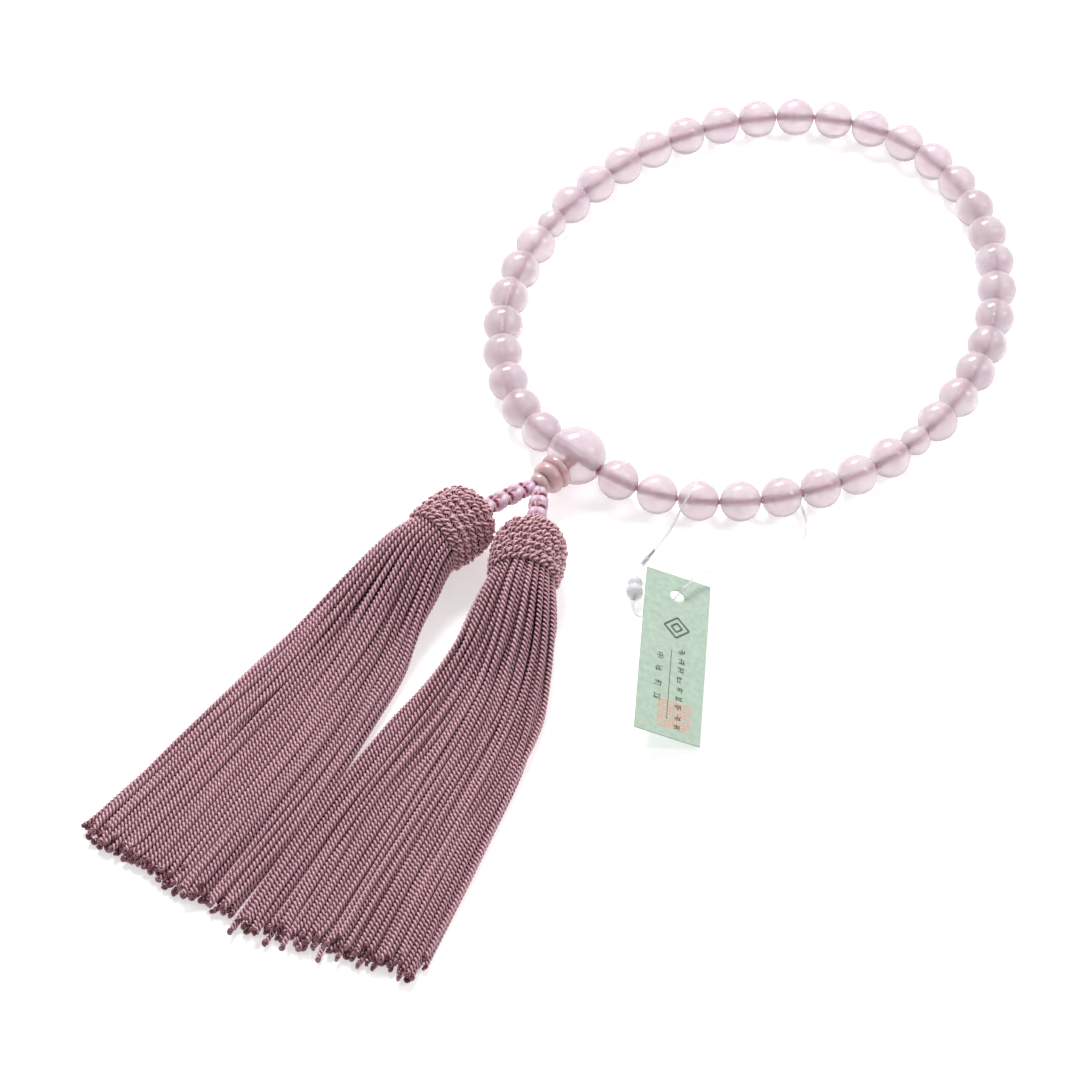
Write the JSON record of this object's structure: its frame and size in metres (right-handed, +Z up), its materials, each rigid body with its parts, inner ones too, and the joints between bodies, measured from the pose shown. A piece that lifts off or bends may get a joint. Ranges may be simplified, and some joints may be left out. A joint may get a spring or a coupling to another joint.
{
  "type": "prayer beads",
  "caption": "Single loop of polished pink stone prayer beads with a parent bead, a tiered collar bead, two braided cords, two knitted-head silk tassels and a card tag.",
  "frame": {"origin": "middle of the bead loop, on the surface that the beads lie on", "axes": "-Y from the loop's middle towards the parent bead and tassels, +Z up from the surface"},
  "size_m": [0.1121, 0.2498, 0.0147],
  "materials": {
    "rose_quartz": "polished translucent rose quartz, pale milky pink",
    "collar_quartz": "polished, deeper peach-pink quartz",
    "string_yarn": "twisted rose-red cord",
    "braid_silk": "four-strand braid of lilac-pink floss and dusty-pink twisted yarn",
    "knit_silk": "knitted twisted silk yarn, dusty rose",
    "tassel_silk": "two-ply twisted silk strands with a soft sheen, dusty rose",
    "core_wood": "plain turned wood, hidden inside the head",
    "tag_paper": null,
    "clear_nylon": "clear glossy nylon"
  },
  "bodies": {
    "parent_bead": {"parent_bead": "rose_quartz", "string": "string_yarn", "string_knot": "string_yarn"},
    "collar_bead": {"collar_bead": "collar_quartz"},
    "main_bead_01": {"main_bead_01": "rose_quartz"},
    "main_bead_02": {"main_bead_02": "rose_quartz"},
    "main_bead_03": {"main_bead_03": "rose_quartz"},
    "main_bead_04": {"main_bead_04": "rose_quartz"},
    "main_bead_05": {"main_bead_05": "rose_quartz"},
    "main_bead_06": {"main_bead_06": "rose_quartz"},
    "main_bead_07": {"main_bead_07": "rose_quartz"},
    "main_bead_08": {"main_bead_08": "rose_quartz"},
    "marker_bead_left": {"marker_bead_left": "rose_quartz"},
    "main_bead_09": {"main_bead_09": "rose_quartz"},
    "main_bead_10": {"main_bead_10": "rose_quartz"},
    "main_bead_11": {"main_bead_11": "rose_quartz"},
    "main_bead_12": {"main_bead_12": "rose_quartz"},
    "main_bead_13": {"main_bead_13": "rose_quartz"},
    "main_bead_14": {"main_bead_14": "rose_quartz"},
    "main_bead_15": {"main_bead_15": "rose_quartz"},
    "main_bead_16": {"main_bead_16": "rose_quartz"},
    "main_bead_17": {"main_bead_17": "rose_quartz"},
    "main_bead_18": {"main_bead_18": "rose_quartz"},
    "main_bead_19": {"main_bead_19": "rose_quartz"},
    "main_bead_38": {"main_bead_38": "rose_quartz"},
    "main_bead_37": {"main_bead_37": "rose_quartz"},
    "main_bead_36": {"main_bead_36": "rose_quartz"},
    "main_bead_35": {"main_bead_35": "rose_quartz"},
    "main_bead_34": {"main_bead_34": "rose_quartz"},
    "main_bead_33": {"main_bead_33": "rose_quartz"},
    "main_bead_32": {"main_bead_32": "rose_quartz"},
    "main_bead_31": {"main_bead_31": "rose_quartz"},
    "marker_bead_right": {"marker_bead_right": "rose_quartz"},
    "main_bead_30": {"main_bead_30": "rose_quartz"},
    "main_bead_29": {"main_bead_29": "rose_quartz"},
    "main_bead_28": {"main_bead_28": "rose_quartz"},
    "main_bead_27": {"main_bead_27": "rose_quartz"},
    "main_bead_26": {"main_bead_26": "rose_quartz"},
    "main_bead_25": {"main_bead_25": "rose_quartz"},
    "main_bead_24": {"main_bead_24": "rose_quartz"},
    "main_bead_23": {"main_bead_23": "rose_quartz"},
    "main_bead_22": {"main_bead_22": "rose_quartz"},
    "main_bead_21": {"main_bead_21": "rose_quartz"},
    "main_bead_20": {"main_bead_20": "rose_quartz"},
    "left_braid": {"left_braid": "braid_silk"},
    "left_tassel": {"left_knit_cap": "knit_silk", "left_core_ball": "core_wood", "left_cord_end_knot": "braid_silk", "left_neck_binding": "knit_silk", "left_tassel_skirt": "tassel_silk"},
    "right_braid": {"right_braid": "braid_silk"},
    "right_tassel": {"right_knit_cap": "knit_silk", "right_core_ball": "core_wood", "right_cord_end_knot": "braid_silk", "right_neck_binding": "knit_silk", "right_tassel_skirt": "tassel_silk"},
    "tag_loop": {"tag_loop": "clear_nylon", "tag_lock": "clear_nylon"},
    "tag_card": {"tag_card": "tag_paper"}
  },
  "joints": [
    {"name": "collar_bead_spin", "type": "hinge", "parent": "parent_bead", "child": "collar_bead", "pos_m": [-0.00067, -0.06571, 0.00546], "axis": [-0.0871, -0.995, -0.0482], "continuous": true},
    {"name": "loop_squeeze", "type": "hinge", "parent": "parent_bead", "child": "main_bead_01", "pos_m": [-0.0059, -0.05758, 0.00555], "axis": [0, 0, -1], "range_deg": [-4.74, 5.6], "deforming": ["string"]},
    {"name": "bend_at_main_bead_02", "type": "hinge", "parent": "main_bead_01", "child": "main_bead_02", "pos_m": [-0.01367, -0.05535, 0.00445], "axis": [0, 0, -1], "range_deg": [-4.43, 5.23]},
    {"name": "bend_at_main_bead_03", "type": "hinge", "parent": "main_bead_02", "child": "main_bead_03", "pos_m": [-0.02092, -0.05162, 0.004], "axis": [0, 0, -1], "range_deg": [-3.7, 4.37]},
    {"name": "bend_at_main_bead_04", "type": "hinge", "parent": "main_bead_03", "child": "main_bead_04", "pos_m": [-0.02737, -0.04663, 0.004], "axis": [0, 0, -1], "range_deg": [-2.61, 3.08]},
    {"name": "bend_at_main_bead_05", "type": "hinge", "parent": "main_bead_04", "child": "main_bead_05", "pos_m": [-0.03291, -0.04064, 0.004], "axis": [0, 0, -1], "range_deg": [-1.22, 1.44]},
    {"name": "bend_at_main_bead_06", "type": "hinge", "parent": "main_bead_05", "child": "main_bead_06", "pos_m": [-0.03751, -0.0339, 0.004], "axis": [0, 0, -1], "range_deg": [-0.4626, 0.3945]},
    {"name": "bend_at_main_bead_07", "type": "hinge", "parent": "main_bead_06", "child": "main_bead_07", "pos_m": [-0.04115, -0.0266, 0.004], "axis": [0, 0, -1], "range_deg": [-2.38, 2.02]},
    {"name": "bend_at_main_bead_08", "type": "hinge", "parent": "main_bead_07", "child": "main_bead_08", "pos_m": [-0.04388, -0.01891, 0.004], "axis": [0, 0, -1], "range_deg": [-4.14, 3.51]},
    {"name": "bend_at_marker_bead_left", "type": "hinge", "parent": "main_bead_08", "child": "marker_bead_left", "pos_m": [-0.04573, -0.01096, 0.004], "axis": [0, 0, -1], "range_deg": [-5.49, 4.65]},
    {"name": "bend_at_main_bead_09", "type": "hinge", "parent": "marker_bead_left", "child": "main_bead_09", "pos_m": [-0.04654, -0.00496, 0.004], "axis": [0, 0, -1], "range_deg": [-6.13, 5.19]},
    {"name": "bend_at_main_bead_10", "type": "hinge", "parent": "main_bead_09", "child": "main_bead_10", "pos_m": [-0.04692, 0.0032, 0.004], "axis": [0, 0, -1], "range_deg": [-6.33, 5.36]},
    {"name": "bend_at_main_bead_11", "type": "hinge", "parent": "main_bead_10", "child": "main_bead_11", "pos_m": [-0.04645, 0.01134, 0.004], "axis": [0, 0, -1], "range_deg": [-5.81, 4.92]},
    {"name": "bend_at_main_bead_12", "type": "hinge", "parent": "main_bead_11", "child": "main_bead_12", "pos_m": [-0.04514, 0.0194, 0.004], "axis": [0, 0, -1], "range_deg": [-4.66, 3.95]},
    {"name": "bend_at_main_bead_13", "type": "hinge", "parent": "main_bead_12", "child": "main_bead_13", "pos_m": [-0.04294, 0.02726, 0.004], "axis": [0, 0, -1], "range_deg": [-3.09, 2.62]},
    {"name": "bend_at_main_bead_14", "type": "hinge", "parent": "main_bead_13", "child": "main_bead_14", "pos_m": [-0.03979, 0.03478, 0.004], "axis": [0, 0, -1], "range_deg": [-1.29, 1.1]},
    {"name": "bend_at_main_bead_15", "type": "hinge", "parent": "main_bead_14", "child": "main_bead_15", "pos_m": [-0.03561, 0.04179, 0.004], "axis": [0, 0, -1], "range_deg": [-0.5, 0.59]},
    {"name": "bend_at_main_bead_16", "type": "hinge", "parent": "main_bead_15", "child": "main_bead_16", "pos_m": [-0.03035, 0.04803, 0.004], "axis": [0, 0, -1], "range_deg": [-1.98, 2.34]},
    {"name": "bend_at_main_bead_17", "type": "hinge", "parent": "main_bead_16", "child": "main_bead_17", "pos_m": [-0.02401, 0.05317, 0.004], "axis": [0, 0, -1], "range_deg": [-3.28, 3.87]},
    {"name": "bend_at_main_bead_18", "type": "hinge", "parent": "main_bead_17", "child": "main_bead_18", "pos_m": [-0.01673, 0.05684, 0.004], "axis": [0, 0, -1], "range_deg": [-4.3, 5.08]},
    {"name": "bend_at_main_bead_19", "type": "hinge", "parent": "main_bead_18", "child": "main_bead_19", "pos_m": [-0.00879, 0.05875, 0.004], "axis": [0, 0, -1], "range_deg": [-4.98, 5.88]},
    {"name": "bend_at_main_bead_38", "type": "hinge", "parent": "parent_bead", "child": "main_bead_38", "pos_m": [0.00596, -0.05793, 0.00555], "axis": [0, 0, 1], "range_deg": [-4.86, 5.74]},
    {"name": "bend_at_main_bead_37", "type": "hinge", "parent": "main_bead_38", "child": "main_bead_37", "pos_m": [0.01386, -0.0562, 0.00445], "axis": [0, 0, 1], "range_deg": [-4.51, 5.32]},
    {"name": "bend_at_main_bead_36", "type": "hinge", "parent": "main_bead_37", "child": "main_bead_36", "pos_m": [0.02135, -0.053, 0.004], "axis": [0, 0, 1], "range_deg": [-3.76, 4.44]},
    {"name": "bend_at_main_bead_35", "type": "hinge", "parent": "main_bead_36", "child": "main_bead_35", "pos_m": [0.02816, -0.0485, 0.004], "axis": [0, 0, 1], "range_deg": [-2.67, 3.15]},
    {"name": "bend_at_main_bead_34", "type": "hinge", "parent": "main_bead_35", "child": "main_bead_34", "pos_m": [0.0341, -0.04291, 0.004], "axis": [0, 0, 1], "range_deg": [-1.29, 1.52]},
    {"name": "bend_at_main_bead_33", "type": "hinge", "parent": "main_bead_34", "child": "main_bead_33", "pos_m": [0.03906, -0.03643, 0.004], "axis": [0, 0, 1], "range_deg": [-0.3528, 0.3016]},
    {"name": "bend_at_main_bead_32", "type": "hinge", "parent": "main_bead_33", "child": "main_bead_32", "pos_m": [0.04295, -0.02926, 0.004], "axis": [0, 0, 1], "range_deg": [-2.25, 1.91]},
    {"name": "bend_at_main_bead_31", "type": "hinge", "parent": "main_bead_32", "child": "main_bead_31", "pos_m": [0.04576, -0.0216, 0.004], "axis": [0, 0, 1], "range_deg": [-4.02, 3.4]},
    {"name": "bend_at_marker_bead_right", "type": "hinge", "parent": "main_bead_31", "child": "marker_bead_right", "pos_m": [0.04748, -0.01362, 0.004], "axis": [0, 0, 1], "range_deg": [-5.45, 4.62]},
    {"name": "bend_at_main_bead_30", "type": "hinge", "parent": "marker_bead_right", "child": "main_bead_30", "pos_m": [0.04806, -0.00759, 0.004], "axis": [0, 0, 1], "range_deg": [-6.2, 5.25]},
    {"name": "bend_at_main_bead_29", "type": "hinge", "parent": "main_bead_30", "child": "main_bead_29", "pos_m": [0.04795, 0.00057, 0.004], "axis": [0, 0, 1], "range_deg": [-6.57, 5.57]},
    {"name": "bend_at_main_bead_28", "type": "hinge", "parent": "main_bead_29", "child": "main_bead_28", "pos_m": [0.04684, 0.00866, 0.004], "axis": [0, 0, 1], "range_deg": [-6.19, 5.24]},
    {"name": "bend_at_main_bead_27", "type": "hinge", "parent": "main_bead_28", "child": "main_bead_27", "pos_m": [0.04478, 0.01655, 0.004], "axis": [0, 0, 1], "range_deg": [-5.06, 4.28]},
    {"name": "bend_at_main_bead_26", "type": "hinge", "parent": "main_bead_27", "child": "main_bead_26", "pos_m": [0.04182, 0.02416, 0.004], "axis": [0, 0, 1], "range_deg": [-3.32, 2.81]},
    {"name": "bend_at_main_bead_25", "type": "hinge", "parent": "main_bead_26", "child": "main_bead_25", "pos_m": [0.03799, 0.03136, 0.004], "axis": [0, 0, 1], "range_deg": [-1.22, 1.03]},
    {"name": "bend_at_main_bead_24", "type": "hinge", "parent": "main_bead_25", "child": "main_bead_24", "pos_m": [0.03334, 0.03807, 0.004], "axis": [0, 0, 1], "range_deg": [-0.89, 1.05]},
    {"name": "bend_at_main_bead_23", "type": "hinge", "parent": "main_bead_24", "child": "main_bead_23", "pos_m": [0.02791, 0.04416, 0.004], "axis": [0, 0, 1], "range_deg": [-2.67, 3.15]},
    {"name": "bend_at_main_bead_22", "type": "hinge", "parent": "main_bead_23", "child": "main_bead_22", "pos_m": [0.02174, 0.04949, 0.004], "axis": [0, 0, 1], "range_deg": [-4.19, 4.95]},
    {"name": "bend_at_main_bead_21", "type": "hinge", "parent": "main_bead_22", "child": "main_bead_21", "pos_m": [0.01486, 0.05388, 0.004], "axis": [0, 0, 1], "range_deg": [-5.37, 6.34]},
    {"name": "bend_at_main_bead_20", "type": "hinge", "parent": "main_bead_21", "child": "main_bead_20", "pos_m": [0.00735, 0.05707, 0.004], "axis": [0, 0, 1], "range_deg": [-6.14, 7.26]},
    {"name": "left_braid_swing", "type": "hinge", "parent": "parent_bead", "child": "left_braid", "pos_m": [-0.00159, -0.06914, 0.0053], "axis": [0, 0, -1], "range_deg": [0, 35]},
    {"name": "left_tassel_lift", "type": "hinge", "parent": "left_braid", "child": "left_tassel", "pos_m": [-0.0043, -0.081, 0.0074], "axis": [-0.9914, 0.1305, 0], "range_deg": [0, 60]},
    {"name": "right_braid_swing", "type": "hinge", "parent": "parent_bead", "child": "right_braid", "pos_m": [-0.00035, -0.06925, 0.0053], "axis": [0, 0, 1], "range_deg": [0, 12]},
    {"name": "right_tassel_lift", "type": "hinge", "parent": "right_braid", "child": "right_tassel", "pos_m": [0.0064, -0.078, 0.0074], "axis": [-0.8796, -0.4756, 0], "range_deg": [0, 60]},
    {"name": "tag_loop_lift", "type": "hinge", "parent": "main_bead_34", "child": "tag_loop", "pos_m": [0.03658, -0.03967, 0.004], "axis": [-0.6075, -0.7943, 0], "range_deg": [0, 12]},
    {"name": "tag_card_swing", "type": "hinge", "parent": "tag_loop", "child": "tag_card", "pos_m": [0.0364, -0.07254, 0.0031], "axis": [-0.7694, -0.5288, 0.3584], "range_deg": [0, 15]}
  ],
  "couplings": [
    {"joint": "bend_at_main_bead_02", "follows": "loop_squeeze", "ratio": 0.93127},
    {"joint": "bend_at_main_bead_03", "follows": "loop_squeeze", "ratio": 0.77706},
    {"joint": "bend_at_main_bead_04", "follows": "loop_squeeze", "ratio": 0.54649},
    {"joint": "bend_at_main_bead_05", "follows": "loop_squeeze", "ratio": 0.25403},
    {"joint": "bend_at_main_bead_06", "follows": "loop_squeeze", "ratio": -0.079057},
    {"joint": "bend_at_main_bead_07", "follows": "loop_squeeze", "ratio": -0.42235},
    {"joint": "bend_at_main_bead_08", "follows": "loop_squeeze", "ratio": -0.73643},
    {"joint": "bend_at_marker_bead_left", "follows": "loop_squeeze", "ratio": -0.97774},
    {"joint": "bend_at_main_bead_09", "follows": "loop_squeeze", "ratio": -1.0914},
    {"joint": "bend_at_main_bead_10", "follows": "loop_squeeze", "ratio": -1.1279},
    {"joint": "bend_at_main_bead_11", "follows": "loop_squeeze", "ratio": -1.0338},
    {"joint": "bend_at_main_bead_12", "follows": "loop_squeeze", "ratio": -0.82927},
    {"joint": "bend_at_main_bead_13", "follows": "loop_squeeze", "ratio": -0.5482},
    {"joint": "bend_at_main_bead_14", "follows": "loop_squeeze", "ratio": -0.22702},
    {"joint": "bend_at_main_bead_15", "follows": "loop_squeeze", "ratio": 0.10236},
    {"joint": "bend_at_main_bead_16", "follows": "loop_squeeze", "ratio": 0.41428},
    {"joint": "bend_at_main_bead_17", "follows": "loop_squeeze", "ratio": 0.68762},
    {"joint": "bend_at_main_bead_18", "follows": "loop_squeeze", "ratio": 0.90392},
    {"joint": "bend_at_main_bead_19", "follows": "loop_squeeze", "ratio": 1.0475},
    {"joint": "bend_at_main_bead_38", "follows": "loop_squeeze", "ratio": 1.0217},
    {"joint": "bend_at_main_bead_37", "follows": "loop_squeeze", "ratio": 0.94762},
    {"joint": "bend_at_main_bead_36", "follows": "loop_squeeze", "ratio": 0.78988},
    {"joint": "bend_at_main_bead_35", "follows": "loop_squeeze", "ratio": 0.55851},
    {"joint": "bend_at_main_bead_34", "follows": "loop_squeeze", "ratio": 0.26853},
    {"joint": "bend_at_main_bead_33", "follows": "loop_squeeze", "ratio": -0.05944},
    {"joint": "bend_at_main_bead_32", "follows": "loop_squeeze", "ratio": -0.39825},
    {"joint": "bend_at_main_bead_31", "follows": "loop_squeeze", "ratio": -0.71446},
    {"joint": "bend_at_marker_bead_right", "follows": "loop_squeeze", "ratio": -0.97057},
    {"joint": "bend_at_main_bead_30", "follows": "loop_squeeze", "ratio": -1.1031},
    {"joint": "bend_at_main_bead_29", "follows": "loop_squeeze", "ratio": -1.1709},
    {"joint": "bend_at_main_bead_28", "follows": "loop_squeeze", "ratio": -1.1018},
    {"joint": "bend_at_main_bead_27", "follows": "loop_squeeze", "ratio": -0.89976},
    {"joint": "bend_at_main_bead_26", "follows": "loop_squeeze", "ratio": -0.59005},
    {"joint": "bend_at_main_bead_25", "follows": "loop_squeeze", "ratio": -0.21354},
    {"joint": "bend_at_main_bead_24", "follows": "loop_squeeze", "ratio": 0.18337},
    {"joint": "bend_at_main_bead_23", "follows": "loop_squeeze", "ratio": 0.55864},
    {"joint": "bend_at_main_bead_22", "follows": "loop_squeeze", "ratio": 0.88053},
    {"joint": "bend_at_main_bead_21", "follows": "loop_squeeze", "ratio": 1.1288},
    {"joint": "bend_at_main_bead_20", "follows": "loop_squeeze", "ratio": 1.2928}
  ]
}
